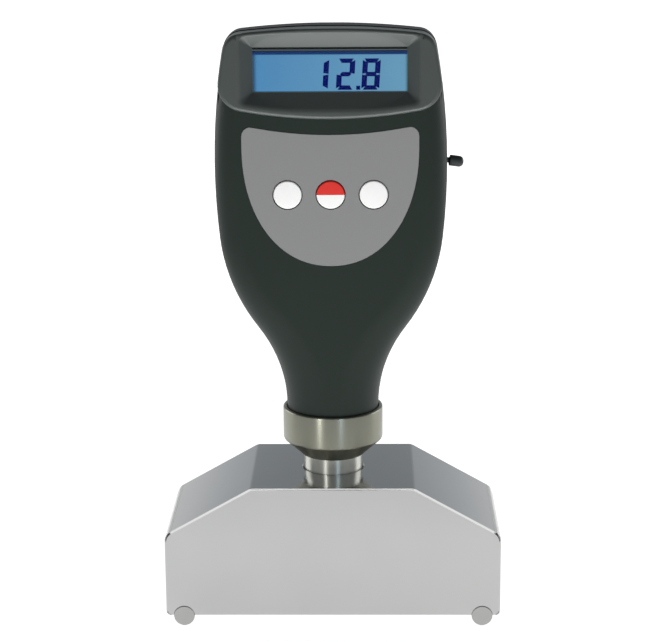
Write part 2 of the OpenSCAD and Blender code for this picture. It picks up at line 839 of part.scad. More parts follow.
module key_label() {
    color("gray") along_y(0, 0, -label_y, -label_y + label_t) difference() {
        label_outline(0);
        for (x = [-1, 0, 1]) translate([x * key_pitch, key_z]) circle(key_r + key_gap);
    }
}

module key(x) {
    soft = 0.3;
    stem_r = 1.6;
    translate([x, -key_stem_y, key_z]) rotate([90, 0, 0]) rotate_extrude() polygon([
        [0, 0], [stem_r, 0],
        [stem_r, key_flange_y - 1 - key_stem_y], [key_flange_r, key_flange_y - 1 - key_stem_y],
        [key_flange_r, key_flange_y - key_stem_y], [key_r, key_flange_y - key_stem_y],
        [key_r, key_y - key_stem_y - soft], [key_r - soft, key_y - key_stem_y], [0, key_y - key_stem_y]
    ]);
}

module left_key() { color("white") key(-key_pitch); }

module power_key() { color("firebrick") key(0); }

module right_key() { color("white") key(key_pitch); }

module key_switches() {
    color("dimgray") for (x = [-1, 0, 1]) {
        along_y(x * key_pitch, key_z, -board_y - switch_h, -board_y) square(switch_w, center = true);
        along_y(x * key_pitch, key_z, -board_y - switch_h - switch_tip_h, -board_y - switch_h) circle(1.6);
    }
}

module main_board() {
    color("seagreen") difference() {
        along_y(0, 0, -board_y, -board_rear_y) {
            translate([-board_half_w, board_step_z]) square([2 * board_half_w, board_z1 - board_step_z]);
            translate([-board_low_half_w, board_z0])
                square([2 * board_low_half_w, board_step_z - board_z0 + past]);
        }
        at_screws(board_screw_at) along_y(0, 0, -board_y - past, -board_rear_y + past) circle(screw_r + 0.1);
    }
}

module board_chips() {
    chip_h = 1.4;
    color("black") {
        translate([-16, -board_rear_y, key_z - 6]) cube([10, chip_h, 10]);
        translate([8, -board_rear_y, key_z - 2]) cube([6, chip_h, 4.5]);
        translate([-8, -board_rear_y, board_z0 + 3]) cube([5, chip_h, 4]);
    }
}

module toggle_switch() {
    body_x0 = tray_half_w + tray_wall + 0.6;
    body_x1 = pivot_x - 1.4;
    tab_x0 = board_low_half_w - 3;
    color("dimgray") difference() {
        union() {
            translate([body_x0, -3.6, lever_z - 4.5]) cube([body_x1 - body_x0, 7.2, 9]);
            translate([tab_x0, -board_rear_y, lever_z - 3]) cube([body_x0 - tab_x0 + past, 1.6, 6]);
            translate([body_x1, 0, lever_z]) rotate([0, 90, 0])
                cylinder(r = 2.6, h = pivot_x - body_x1 + 0.4);
        }
        translate([pivot_x - ball_r - 0.3, 0, lever_z]) rotate([0, 90, 0])
            cylinder(r = ball_r + 0.05, h = 2 * ball_r);
    }
}

module toggle_lever() {
    tip_r = lever_tip_d / 2;
    neck_l = half_house - pivot_x + 0.7;
    end_l = half_house - pivot_x + lever_out;
    flat = 0.5;
    // The tip's rounding is a little flatter than half a ball
    crown = 0.8 * tip_r;
    ball_turn = 90 + acos(lever_neck_r / ball_r);
    profile = concat(
        [for (i = [0 : 10]) let (t = ball_turn * i / 10 - 90) ball_r * [cos(t), sin(t)]],
        [[lever_neck_r, neck_l]],
        [[tip_r - flat, neck_l], [tip_r, neck_l + flat]],
        [for (i = [0 : 6]) let (t = 90 * i / 6) [tip_r * cos(t), end_l - crown + crown * sin(t)]]
    );
    color("dimgray") translate([pivot_x, 0, lever_z]) rotate([0, lever_tilt + 90, 0])
        rotate_extrude() polygon(profile);
}

// One cell standing on its flat end, with its cap up
module cell() {
    body = cell_l - nub_h;
    cylinder(r = cell_r, h = body);
    translate([0, 0, body]) cylinder(r = 1.9, h = nub_h);
}

// Places its children in all four cell bays, every second one the other way up
module in_bays() {
    for (i = [0 : 3]) translate([(i - 1.5) * cell_pitch, cell_y, tray_mid_z])
        mirror([0, 0, i % 2]) translate([0, 0, -tray_mid_z]) children();
}

module batteries() {
    color("goldenrod") in_bays() translate([0, 0, cell_z0]) cell();
}

module contact_springs() {
    color("silver") in_bays() translate([0, 0, tray_z0 + plate_thick])
        coil(contact_w / 2 - 1.1, 0.6, cell_z0 - tray_z0 - plate_thick, 3, 1.6);
}

module contact_plates() {
    color("silver") in_bays() {
        for (z = [tray_z0, tray_z1 - plate_thick])
            translate([-contact_w / 2, tray_floor_y + tray_wall - cell_y, z])
                cube([contact_w, contact_w, plate_thick]);
    }
}

module battery_cover() {
    w = 2 * (tray_half_w + tray_ledge - cover_gap);
    h = tray_l + 2 * (tray_ledge - cover_gap);
    lug_h = 1;
    lug_l = 1.4;
    lug_z = tray_l / 2 - 0.1 - lug_h / 2;
    groove_w = 14;
    groove_step = 1.8;
    color("darkslategray") difference() {
        union() {
            along_y(0, tray_mid_z, cover_seat_y, cover_y) rounded_rect(w, h, cover_r);
            for (s = [-1, 1]) along_y(0, tray_mid_z + s * lug_z, cover_seat_y - lug_l, cover_seat_y)
                square([cell_pitch, lug_h], center = true);
        }
        for (i = [0 : 4]) along_y(0, tray_z1 - 6 - groove_step * i, cover_y - 0.5, cover_y + past)
            square([groove_w, 0.8], center = true);
    }
}

base_block();
support_rods();
clamp_screw();
probe_tube();
collar();
lower_bush();
upper_bush();
spindle();
spindle_spring();
lock_nut();
bar_carrier();
contact_bar();
sensor_core();
coil_bobbin();
coil_winding();
sensor_lead();
lead_plug();
front_shell();
rear_shell();
shell_screws();
display_bezel();
display_window();
lcd_panel();
backlight();
lcd_connectors();
key_label();
left_key();
power_key();
right_key();
key_switches();
main_board();
board_chips();
board_screws();
toggle_switch();
toggle_lever();
batteries();
contact_springs();
contact_plates();
battery_cover();
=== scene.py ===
import math

import bmesh
import bpy
from mathutils import Matrix, Vector


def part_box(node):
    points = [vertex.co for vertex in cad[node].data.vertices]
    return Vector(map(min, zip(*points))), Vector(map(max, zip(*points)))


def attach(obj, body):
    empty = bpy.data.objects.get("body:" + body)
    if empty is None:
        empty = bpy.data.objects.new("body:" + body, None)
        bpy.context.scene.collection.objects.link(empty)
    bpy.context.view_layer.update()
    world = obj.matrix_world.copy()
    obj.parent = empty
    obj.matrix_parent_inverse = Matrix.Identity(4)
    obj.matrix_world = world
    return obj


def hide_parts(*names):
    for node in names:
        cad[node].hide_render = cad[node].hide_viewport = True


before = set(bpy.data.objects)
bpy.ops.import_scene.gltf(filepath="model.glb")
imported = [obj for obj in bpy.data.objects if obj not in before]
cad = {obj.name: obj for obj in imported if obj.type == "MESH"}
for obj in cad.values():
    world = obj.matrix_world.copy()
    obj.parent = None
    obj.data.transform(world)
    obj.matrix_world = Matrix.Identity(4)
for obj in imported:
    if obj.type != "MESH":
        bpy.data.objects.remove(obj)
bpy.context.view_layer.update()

mm = 0.001

# Camera
# The photograph looks down a little on the meter, from almost straight ahead and from about
# 0.56 m away. The place and the tilt were fitted to the block's and the housing's corners.
camera_place = Vector((0.0103, -0.5442, 0.2222))
camera_turn = math.radians(1.08)
camera_drop = math.radians(14.22)
camera_roll = math.radians(-0.4)
photo_width = 665
photo_focal_pixels = 1970.3

bpy.ops.object.camera_add(location=camera_place)
camera = bpy.context.object
camera.data.sensor_width = 36
camera.data.lens = photo_focal_pixels * camera.data.sensor_width / photo_width
camera.data.clip_end = 20
camera.matrix_world = (
    Matrix.Translation(camera_place) @ Matrix.Rotation(camera_turn, 4, "Z")
    @ Matrix.Rotation(math.pi / 2 - camera_drop, 4, "X") @ Matrix.Rotation(camera_roll, 4, "Z")
)
bpy.context.scene.camera = camera
bpy.context.scene.view_settings.view_transform = "Standard"


# Base block
# A block of aluminium, 95 mm wide, sawn and surface ground, with two slopes milled on its
# shoulders and a fine chamfer round its front and rear face. The probe tube sits in its bore.
def linear(code):
    """The linear colour of an sRGB hex code, with full alpha."""
    channels = [int(code[i:i + 2], 16) / 255 for i in (0, 2, 4)]
    return [c / 12.92 if c <= 0.04045 else ((c + 0.055) / 1.055) ** 2.4 for c in channels] + [1]


def add_node(material, kind, links=None, stops=(), steps="LINEAR", **settings):
    """Adds one node. A link's key is the input, and its value is another node's output or a number.
    A colour ramp also takes its stops, as (place, colour) pairs."""
    tree = material.node_tree
    node = tree.nodes.new(kind)
    for name, value in settings.items():
        setattr(node, name, value)
    for name, value in (links or {}).items():
        if isinstance(value, bpy.types.NodeSocket):
            tree.links.new(value, node.inputs[name])
        else:
            node.inputs[name].default_value = value
    if stops:
        node.color_ramp.interpolation = steps
        while len(node.color_ramp.elements) < len(stops):
            node.color_ramp.elements.new(0.5)
        for element, (position, colour) in zip(node.color_ramp.elements, stops):
            element.position = position
            element.color = colour
    return node


def new_material(name, **shader):
    """A material with one principled shader, whose sockets take the values given."""
    material = bpy.data.materials.new(name)
    material.use_nodes = True
    surface = material.node_tree.nodes["Principled BSDF"]
    for socket, value in shader.items():
        surface.inputs[socket.replace("_", " ")].default_value = value
    return material


def wire(material, output, socket):
    """Links a node's output to a socket of the material's shader."""
    surface = material.node_tree.nodes["Principled BSDF"]
    material.node_tree.links.new(output, surface.inputs[socket])


def start(name):
    """Names the primitive that was just added."""
    piece = bpy.context.object
    piece.name = name
    piece.data.name = name
    return piece


def nothing_selected():
    """Leaves edit mode and deselects everything, so that an operator meets only what follows."""
    if bpy.context.object and bpy.context.object.mode != "OBJECT":
        bpy.ops.object.mode_set(mode="OBJECT")
    bpy.ops.object.select_all(action="DESELECT")


def work_on(piece):
    """Makes the piece the only selected object, and the active one."""
    nothing_selected()
    piece.select_set(True)
    bpy.context.view_layer.objects.active = piece


def pick(piece, kind, test):
    """Enters edit mode and selects the faces, edges or verts that pass the test."""
    work_on(piece)
    bpy.ops.object.mode_set(mode="EDIT")
    bpy.ops.mesh.select_mode(type={"faces": "FACE", "edges": "EDGE", "verts": "VERT"}[kind])
    bpy.ops.mesh.select_all(action="DESELECT")
    mesh = bmesh.from_edit_mesh(piece.data)
    for part in getattr(mesh, kind):
        if test(part):
            part.select_set(True)
    mesh.select_flush_mode()
    bmesh.update_edit_mesh(piece.data)


def middle(part):
    """The mean of the corners of a face or an edge."""
    points = [v.co for v in part.verts]
    return sum(points, Vector()) / len(points)


def settle(piece, smooth_angle=35):
    """Puts the place into the mesh and shades the round faces smooth."""
    work_on(piece)
    bpy.ops.object.transform_apply(location=True, rotation=True, scale=True)
    bpy.ops.object.shade_smooth_by_angle(angle=math.radians(smooth_angle))
    return piece


def apply_modifier(piece, kind, **settings):
    """Adds a modifier with its settings and applies it at once."""
    work_on(piece)
    modifier = piece.modifiers.new(kind.title(), kind)
    for name, value in settings.items():
        setattr(modifier, name, value)
    bpy.ops.object.modifier_apply(modifier=modifier.name)


def carve(piece, cutter):
    """Takes the cutter's shape out of the piece, and deletes the cutter."""
    apply_modifier(piece, "BOOLEAN", operation="DIFFERENCE", solver="MANIFOLD", object=cutter)
    bpy.data.objects.remove(cutter)


low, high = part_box("base_block")
end_height = 24.2 * mm
top_half = 23 * mm
shoulder_offset = 1.9 * mm
shoulder_steps = 8
foot_offset = 1.3 * mm
foot_steps = 5
chamfer = 0.5 * mm

nothing_selected()
bpy.ops.mesh.primitive_cube_add(size=1, location=(low + high) / 2, scale=high - low)
block = settle(start("block"))
for side in (-1, 1):
    edge = Vector((side * top_half, 0, high.z))
    fall = Vector((side * high.x, 0, low.z + end_height)) - edge
    outwards = Vector((-side * fall.z, 0, side * fall.x)).normalized()
    bpy.ops.object.mode_set(mode="EDIT")
    bpy.ops.mesh.select_all(action="SELECT")
    bpy.ops.mesh.bisect(plane_co=edge, plane_no=outwards, use_fill=True, clear_outer=True)
    bpy.ops.mesh.select_all(action="SELECT")
    bpy.ops.mesh.normals_make_consistent(inside=False)
    bpy.ops.object.mode_set(mode="OBJECT")


def runs_front_to_back(edge, x, z):
    """True for a long edge of the block at this height, and at this distance to either side."""
    a, b = (v.co for v in edge.verts)
    return abs(a.y - b.y) > 10 * mm and abs(abs(a.x) - x) < 0.1 * mm and abs(a.z - z) < 0.1 * mm


pick(block, "edges", lambda e: runs_front_to_back(e, high.x, low.z + end_height))
bpy.ops.mesh.bevel(offset=shoulder_offset, segments=shoulder_steps, profile=0.5)
pick(block, "edges", lambda e: runs_front_to_back(e, high.x, low.z))
bpy.ops.mesh.bevel(offset=foot_offset, segments=foot_steps, profile=0.5)
pick(block, "edges", lambda e: all(abs(abs(v.co.y) - high.y) < 0.01 * mm for v in e.verts))
bpy.ops.mesh.bevel(offset=chamfer, segments=1)
bpy.ops.object.mode_set(mode="OBJECT")
# The chamfer pushes the rounded shoulders out by a hair, so they go back to the block's width.
for corner in block.data.vertices:
    corner.co.x = max(low.x, min(high.x, corner.co.x))

# From above come the bore, which ends on a floor, with its countersunk rim, and the narrower
# hole for the spindle. From below come the pocket for the bar's saddle and the rods' grooves,
# and from the rear the hole for the clamp screw. A length named cut is its cutter's, which
# stands out past the block.
bore_radius = 8.45 * mm
bore_floor = 20 * mm
bore_cut = 40 * mm
rim = 0.55 * mm
spindle_hole_radius = 4 * mm
spindle_hole_cut = 50 * mm
pocket_width = 8.8 * mm
pocket_length = 24 * mm
pocket_height = 17 * mm
rod_x = 42.4 * mm
groove_radius = 3.03 * mm
groove_cut = 60 * mm
clamp_hole_radius = 2.05 * mm
clamp_hole_cut = 25 * mm
clamp_hole_y = 17.5 * mm
clamp_hole_z = 31 * mm
front_to_back = (math.pi / 2, 0, 0)

nothing_selected()
bpy.ops.mesh.primitive_cylinder_add(vertices=128, radius=bore_radius, depth=bore_cut,
                                    location=(0, 0, bore_floor + bore_cut / 2))
carve(block, start("bore_cutter"))
bpy.ops.mesh.primitive_cone_add(vertices=128, radius1=bore_radius - rim, radius2=bore_radius + rim * 3,
                                depth=rim * 4, location=(0, 0, high.z))
carve(block, start("rim_cutter"))
bpy.ops.mesh.primitive_cylinder_add(vertices=64, radius=spindle_hole_radius, depth=spindle_hole_cut,
                                    location=(0, 0, 0))
carve(block, start("spindle_cutter"))
bpy.ops.mesh.primitive_cube_add(size=1, location=(0, 0, pocket_height / 2),
                                scale=(pocket_width, pocket_length, pocket_height))
carve(block, start("pocket_cutter"))
for side in (-1, 1):
    bpy.ops.mesh.primitive_cylinder_add(vertices=96, radius=groove_radius, depth=groove_cut,
                                        location=(side * rod_x, 0, low.z), rotation=front_to_back)
    carve(block, start("groove_cutter"))
bpy.ops.mesh.primitive_cylinder_add(vertices=48, radius=clamp_hole_radius, depth=clamp_hole_cut,
                                    location=(0, clamp_hole_y, clamp_hole_z), rotation=front_to_back)
carve(block, start("clamp_cutter"))
settle(block, 20)

# Ground aluminium: satin, grey, with straight grinding lines along the block. The lines are
# 0.2 mm apart here, which is coarser than real ones, so that they can just be seen.
aluminium = new_material("ground_aluminium", Metallic=1)
place = add_node(aluminium, "ShaderNodeTexCoord")
lines = add_node(aluminium, "ShaderNodeMapping",
                 {"Vector": place.outputs["Object"], "Scale": (60, 5000, 5000)})
grain = add_node(aluminium, "ShaderNodeTexNoise",
                 {"Vector": lines.outputs["Vector"], "Scale": 1, "Detail": 3})
cloudy = add_node(aluminium, "ShaderNodeTexNoise",
                  {"Vector": place.outputs["Object"], "Scale": 40, "Detail": 2})
tint = add_node(aluminium, "ShaderNodeMix",
                {"Factor": cloudy.outputs["Fac"], "A": linear("B4B4B4"), "B": linear("BBBBBA")},
                data_type="RGBA")
wire(aluminium, tint.outputs["Result"], "Base Color")
dull = add_node(aluminium, "ShaderNodeMapRange",
                {"Value": grain.outputs["Fac"], "To Min": 0.1, "To Max": 0.17})
wire(aluminium, dull.outputs["Result"], "Roughness")
relief = add_node(aluminium, "ShaderNodeBump",
                  {"Height": grain.outputs["Fac"], "Strength": 0.08, "Distance": 0.02 * mm})
wire(aluminium, relief.outputs["Normal"], "Normal")
block.data.materials.clear()
block.data.materials.append(aluminium)
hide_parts("base_block")
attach(block, "housing")

# Support rods and contact bar
# Hardened and ground steel pins, 6 mm thick. Two lie half sunk under the block's ends, and the
# third, sprung one lies between them in its saddle. The rims of their ends are eased.
pin_radius = 3 * mm
pin_rim = 0.3 * mm
rod_length = 42 * mm
bar_length = 22 * mm

# Ground steel: pale grey, with a polish that changes in rings of 0.17 mm along the pin, so that
# its glints look ground and not cast.
steel = new_material("ground_steel", Base_Color=linear("A9A9A7"), Metallic=1)
place = add_node(steel, "ShaderNodeTexCoord")
around = add_node(steel, "ShaderNodeMapping",
                  {"Vector": place.outputs["Object"], "Scale": (900, 6000, 900)})
rings = add_node(steel, "ShaderNodeTexNoise",
                 {"Vector": around.outputs["Vector"], "Scale": 1, "Detail": 2})
dull = add_node(steel, "ShaderNodeMapRange",
                {"Value": rings.outputs["Fac"], "To Min": 0.16, "To Max": 0.3})
wire(steel, dull.outputs["Result"], "Roughness")


def ground_pin(name, x, length):
    """One pin from front to back, which touches the floor, with eased rims."""
    nothing_selected()
    bpy.ops.mesh.primitive_cylinder_add(vertices=96, radius=pin_radius, depth=length,
                                        location=(x, 0, pin_radius), rotation=front_to_back)
    pin = settle(start(name))
    pick(pin, "edges", lambda e: len(e.link_faces) == 2 and any(len(f.verts) > 4 for f in e.link_faces))
    bpy.ops.mesh.bevel(offset=pin_rim, segments=2)
    settle(pin, 30)
    pin.data.materials.append(steel)
    return pin


for rod in (ground_pin("left_rod", -rod_x, rod_length), ground_pin("right_rod", rod_x, rod_length)):
    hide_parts("support_rods")
    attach(rod, "housing")
bar = ground_pin("measuring_bar", 0, bar_length)
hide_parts("contact_bar")
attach(bar, "plunger")


# Probe tube and collar
# Both are turned from stainless steel and left as they come off the lathe, with fine rings.
# The collar is a cup that grips the neck of the housing, and its underside is a cone.
def turned(name, profile, sides=160):
    """A closed ring of round section: extrudes a circle through the profile's pairs of radius and
    height, in millimetres."""
    radius, height = profile[0]
    nothing_selected()
    bpy.ops.mesh.primitive_circle_add(vertices=sides, radius=radius * mm, location=(0, 0, height * mm))
    piece = settle(start(name))
    bpy.ops.object.mode_set(mode="EDIT")
    bpy.ops.mesh.select_all(action="SELECT")
    for next_radius, next_height in profile[1:]:
        rise = (0, 0, (next_height - height) * mm)
        grow = next_radius / radius
        bpy.ops.mesh.extrude_edges_move(TRANSFORM_OT_translate={"value": rise})
        bpy.ops.transform.resize(value=(grow, grow, 1), center_override=(0, 0, next_height * mm))
        radius, height = next_radius, next_height
    bpy.ops.mesh.select_all(action="DESELECT")
    bpy.ops.mesh.select_non_manifold()
    bpy.ops.mesh.bridge_edge_loops()
    bpy.ops.mesh.select_all(action="SELECT")
    bpy.ops.mesh.normals_make_consistent(inside=False)
    bpy.ops.object.mode_set(mode="OBJECT")
    return settle(piece, 25)


def quarter(radius, height, r, a0, a1, steps=6):
    """Points of a rounding of radius r whose middle is at (radius, height), from angle a0 to a1."""
    angles = [math.radians(a0 + (a1 - a0) * i / steps) for i in range(steps + 1)]
    return [(radius + r * math.cos(a), height + r * math.sin(a)) for a in angles]


# Radii and heights in millimetres. The tube's flange lies on the cup's floor.
tube_inner = 7
tube_outer = 8.4
tube_foot = 20
tube_foot_inner = 5.8
tube_foot_thickness = 1
tube_foot_chamfer = 0.4
flange_radius = 12.9
flange_foot = 52
flange_top = 54
tube = turned("tube", [
    (tube_inner, tube_foot + tube_foot_thickness), (tube_foot_inner, tube_foot + tube_foot_thickness),
    (tube_foot_inner, tube_foot), (tube_outer - tube_foot_chamfer, tube_foot),
    (tube_outer, tube_foot + tube_foot_chamfer), (tube_outer, flange_foot),
    (flange_radius, flange_foot), (flange_radius, flange_top), (tube_inner, flange_top),
])

collar_radius = 14.3
collar_foot = 45.4
collar_top = 59.6
collar_hole = 8.45
cone_foot_radius = 8.95
cone_top = 49.7
cone_rounding = 1
rim_rounding = 0.5
cup_radius = 13.25
cup_chamfer = 0.15
collar = turned("collar_cup", [
    (cup_radius, flange_foot), (collar_hole, flange_foot), (collar_hole, collar_foot),
    (cone_foot_radius, collar_foot),
    *quarter(collar_radius - cone_rounding, cone_top + cone_rounding, cone_rounding, -50, 0),
    *quarter(collar_radius - rim_rounding, collar_top - rim_rounding, rim_rounding, 0, 90),
    (cup_radius + cup_chamfer, collar_top), (cup_radius, collar_top - cup_chamfer),
])


def lathe_finish(name, dark, light, roughness):
    """Turned stainless steel, with lathe rings of 0.12 mm feed that draw each reflection out into
    an upright stripe."""
    stainless = new_material(name, Metallic=1, Roughness=roughness, Anisotropic=0.8,
                             Anisotropic_Rotation=0.25)
    place = add_node(stainless, "ShaderNodeTexCoord")
    height = add_node(stainless, "ShaderNodeSeparateXYZ", {"Vector": place.outputs["Object"]})
    feed = add_node(stainless, "ShaderNodeMath", {0: height.outputs["Z"], 1: 8300}, operation="MULTIPLY")
    ring = add_node(stainless, "ShaderNodeTexNoise", {"W": feed.outputs["Value"], "Scale": 1, "Detail": 3},
                    noise_dimensions="1D")
    relief = add_node(stainless, "ShaderNodeBump",
                      {"Height": ring.outputs["Fac"], "Strength": 0.15, "Distance": 0.02 * mm})
    wire(stainless, relief.outputs["Normal"], "Normal")
    stain = add_node(stainless, "ShaderNodeTexNoise",
                     {"Vector": place.outputs["Object"], "Scale": 60, "Detail": 2})
    tint = add_node(stainless, "ShaderNodeMix",
                    {"Factor": stain.outputs["Fac"], "A": linear(dark), "B": linear(light)},
                    data_type="RGBA")
    wire(stainless, tint.outputs["Result"], "Base Color")
    around = add_node(stainless, "ShaderNodeTangent", direction_type="RADIAL", axis="Z")
    wire(stainless, around.outputs["Tangent"], "Tangent")
    return stainless


# The collar looks warm grey, a little greenish in this light. The tube has the same rings, and its
# steel is painted paler, for the light that the block's top throws up on it.
collar_finish = lathe_finish("turned_stainless_steel", "868678", "8F8F84", 0.32)
tube_finish_painted_paler = lathe_finish("turned_stainless_steel_painted_pale", "BDBDB3", "C8C8C1", 0.34)
for piece, node, finish in ((tube, "probe_tube", tube_finish_painted_paler), (collar, "collar", collar_finish)):
    piece.data.materials.append(finish)
    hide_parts(node)
    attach(piece, "housing")


# Housing
# Two half shells of charcoal ABS with a fine spark-eroded grain, which meet in a seam round
# the sides. They keep the shape of the solids, merged, with the outer edge of the seam eased.
def dressed_copy(name, node):
    """A merged copy of a CAD node, for a piece that keeps the node's shape and is finished here."""
    mesh = cad[node].data.copy()
    piece = bpy.data.objects.new(name, mesh)
    bpy.context.scene.collection.objects.link(piece)
    mesh.name = name
    mesh.materials.clear()
    work_on(piece)
    bpy.ops.object.mode_set(mode="EDIT")
    bpy.ops.mesh.select_all(action="SELECT")
    bpy.ops.mesh.remove_doubles(threshold=0.002 * mm)
    bpy.ops.mesh.dissolve_limited(angle_limit=math.radians(0.3))
    bpy.ops.object.mode_set(mode="OBJECT")
    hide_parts(node)
    return piece


def even_shading(piece, angle=30):
    """Smooth round faces, and flat faces that stay flat right up to a rounded edge."""
    work_on(piece)
    bpy.ops.object.shade_smooth_by_angle(angle=math.radians(angle))
    apply_modifier(piece, "WEIGHTED_NORMAL", mode="FACE_AREA", weight=50, keep_sharp=True)


seam_bevel = 0.15 * mm
housing_middle_z = 110 * mm


def faces_out(face):
    """True for a face of the outer skin, which looks away from the middle of the housing."""
    place = middle(face)
    return face.normal.x * place.x + face.normal.z * (place.z - housing_middle_z) > 0


# Charcoal ABS, moulded against a fine grain: a soft wide sheen at grazing angles. The grain
# is 0.25 mm here, a little coarser than the real 0.1 mm, so that it shows.
charcoal = new_material("charcoal_abs", IOR=1.5, Specular_IOR_Level=0.27)
place = add_node(charcoal, "ShaderNodeTexCoord")
pits = add_node(charcoal, "ShaderNodeTexNoise",
                {"Vector": place.outputs["Object"], "Scale": 4000, "Detail": 3})
relief = add_node(charcoal, "ShaderNodeBump",
                  {"Height": pits.outputs["Fac"], "Strength": 0.12, "Distance": 0.04 * mm})
wire(charcoal, relief.outputs["Normal"], "Normal")
rubbed = add_node(charcoal, "ShaderNodeTexNoise",
                  {"Vector": place.outputs["Object"], "Scale": 25, "Detail": 3})
dull = add_node(charcoal, "ShaderNodeMapRange",
                {"Value": rubbed.outputs["Fac"], "To Min": 0.42, "To Max": 0.54})
wire(charcoal, dull.outputs["Result"], "Roughness")
tint = add_node(charcoal, "ShaderNodeMix",
                {"Factor": rubbed.outputs["Fac"], "A": linear("18221D"), "B": linear("1F2924")},
                data_type="RGBA")
wire(charcoal, tint.outputs["Result"], "Base Color")
for name, node in (("front_half", "front_shell"), ("rear_half", "rear_shell")):
    shell = dressed_copy(name, node)
    pick(shell, "edges", lambda e: all(abs(v.co.y) < 0.01 * mm for v in e.verts)
         and any(abs(f.normal.y) < 0.5 and faces_out(f) for f in e.link_faces))
    bpy.ops.mesh.bevel(offset=seam_bevel, segments=1)
    even_shading(shell)
    shell.data.materials.append(charcoal)
    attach(shell, "housing")

# Display frame
# A separate ABS moulding, polished a little smoother than the shells, pressed on the front.
# Its funnel falls to the window, and the crest round the funnel is eased by most of a millimetre.
bezel = dressed_copy("display_frame", "display_bezel")
bezel_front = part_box("display_bezel")[0].y
window_low, window_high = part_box("display_window")
window_middle = (window_low + window_high) / 2
funnel_depth = 3.5 * mm
funnel_half_width = 21.15 * mm
funnel_half_height = 6.15 * mm
funnel_end = Vector((funnel_half_width, bezel_front + funnel_depth, funnel_half_height))
crest_bevel = 0.75 * mm
crest_steps = 6


def in_funnel(face):
    """True for a face of the funnel, which looks in towards the middle of the window."""
    place = middle(face) - window_middle
    depth = middle(face).y - bezel_front
    inward = -(face.normal.x * place.x + face.normal.z * place.z)
    return depth < funnel_depth - 0.1 * mm and inward > 0.3 * math.hypot(place.x, place.z)


def leaves_window_corner(edge):
    """True for an edge that runs from a corner of the funnel's narrow end out to the crest."""
    ends = [Vector((abs(v.co.x), v.co.y, abs(v.co.z - window_middle.z))) for v in edge.verts]
    from_corner = min((end - funnel_end).length for end in ends)
    return from_corner < 0.3 * mm and 3 * mm < edge.calc_length() < 9 * mm


pick(bezel, "edges", lambda e: all(v.co.y - bezel_front < 0.5 * mm for v in e.verts)
     and sum(in_funnel(f) for f in e.link_faces) == 1)
bpy.ops.mesh.bevel(offset=crest_bevel, segments=crest_steps)
pick(bezel, "edges", leaves_window_corner)
bpy.ops.mesh.mark_sharp()
even_shading(bezel, 24)

# Satin ABS: a lighter, smoother charcoal, whose slanted walls catch more of the light than the
# shells do. Its grain is 0.3 mm, again a little coarser than the real one.
satin = new_material("satin_abs", Base_Color=linear("454B49"), IOR=1.5, Specular_IOR_Level=0.3)
place = add_node(satin, "ShaderNodeTexCoord")
pits = add_node(satin, "ShaderNodeTexNoise",
                {"Vector": place.outputs["Object"], "Scale": 3000, "Detail": 2})
relief = add_node(satin, "ShaderNodeBump",
                  {"Height": pits.outputs["Fac"], "Strength": 0.06, "Distance": 0.03 * mm})
wire(satin, relief.outputs["Normal"], "Normal")
rubbed = add_node(satin, "ShaderNodeTexNoise",
                  {"Vector": place.outputs["Object"], "Scale": 30, "Detail": 2})
dull = add_node(satin, "ShaderNodeMapRange",
                {"Value": rubbed.outputs["Fac"], "To Min": 0.3, "To Max": 0.42})
wire(satin, dull.outputs["Result"], "Roughness")
bezel.data.materials.append(satin)
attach(bezel, "housing")

# Display
# A backlit liquid crystal panel behind a clear acrylic window. The lit field is blue, the
# figures are dark navy segments, and an unlit border shows along the upper edge, with painted
# shade under the frame's edge and a painted glint of the window's edge.
low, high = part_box("lcd_panel")
panel_front = low.y
panel_bevel = 0.1 * mm
nothing_selected()
bpy.ops.mesh.primitive_cube_add(size=1, location=(low + high) / 2, scale=high - low)
panel = settle(start("lit_panel"))
pick(panel, "edges", lambda e: True)
bpy.ops.mesh.bevel(offset=panel_bevel, segments=2)
settle(panel)

# Lit liquid crystal: a blue glow that is a little deeper on the left and slightly patchy, with
# painted shade of the frame's walls at both sides. Above it runs the unlit border, in four darker
# stripes, with painted shade and a painted glint of the window's edge among them.
field_half = 21 * mm
border_foot = window_middle.z + 3.85 * mm
border_edge = 0.1 * mm
border_depth = 2.5 * mm
opening_half = 21.1 * mm
glow = new_material("backlit_display", Base_Color=linear("182C3C"), Roughness=0.3,
                    Specular_IOR_Level=0.1, Emission_Strength=0.86)
place = add_node(glow, "ShaderNodeTexCoord")
split = add_node(glow, "ShaderNodeSeparateXYZ", {"Vector": place.outputs["Object"]})
across = add_node(glow, "ShaderNodeMapRange",
                  {"Value": split.outputs["X"], "From Min": -field_half, "From Max": field_half})
field = add_node(glow, "ShaderNodeMix",
                 {"Factor": across.outputs["Result"], "A": linear("5692C1"), "B": linear("70A4C2")},
                 data_type="RGBA")
above = add_node(glow, "ShaderNodeMapRange",
                 {"Value": split.outputs["Z"], "From Min": border_foot - border_edge,
                  "From Max": border_foot + border_edge})
into_border = add_node(glow, "ShaderNodeMapRange",
                       {"Value": split.outputs["Z"], "From Min": border_foot,
                        "From Max": border_foot + border_depth})
# Navy unlit border, then a painted shadow line, a painted grey glint of the window's edge, painted shade.
border_with_painted_shade_and_glint = (
    (0, linear("1C3A6E")), (0.34, linear("1A1F2A")), (0.44, linear("5C6462")), (0.56, linear("15181A")),
)
border_and_painted_shade = add_node(glow, "ShaderNodeValToRGB", {"Fac": into_border.outputs["Result"]},
                  stops=border_with_painted_shade_and_glint, steps="CONSTANT")
mist = add_node(glow, "ShaderNodeTexNoise",
                {"Vector": place.outputs["Object"], "Scale": 90, "Detail": 1})
patchy = add_node(glow, "ShaderNodeMapRange",
                  {"Value": mist.outputs["Fac"], "To Min": 0.94, "To Max": 1.06})
level = patchy.outputs["Result"]
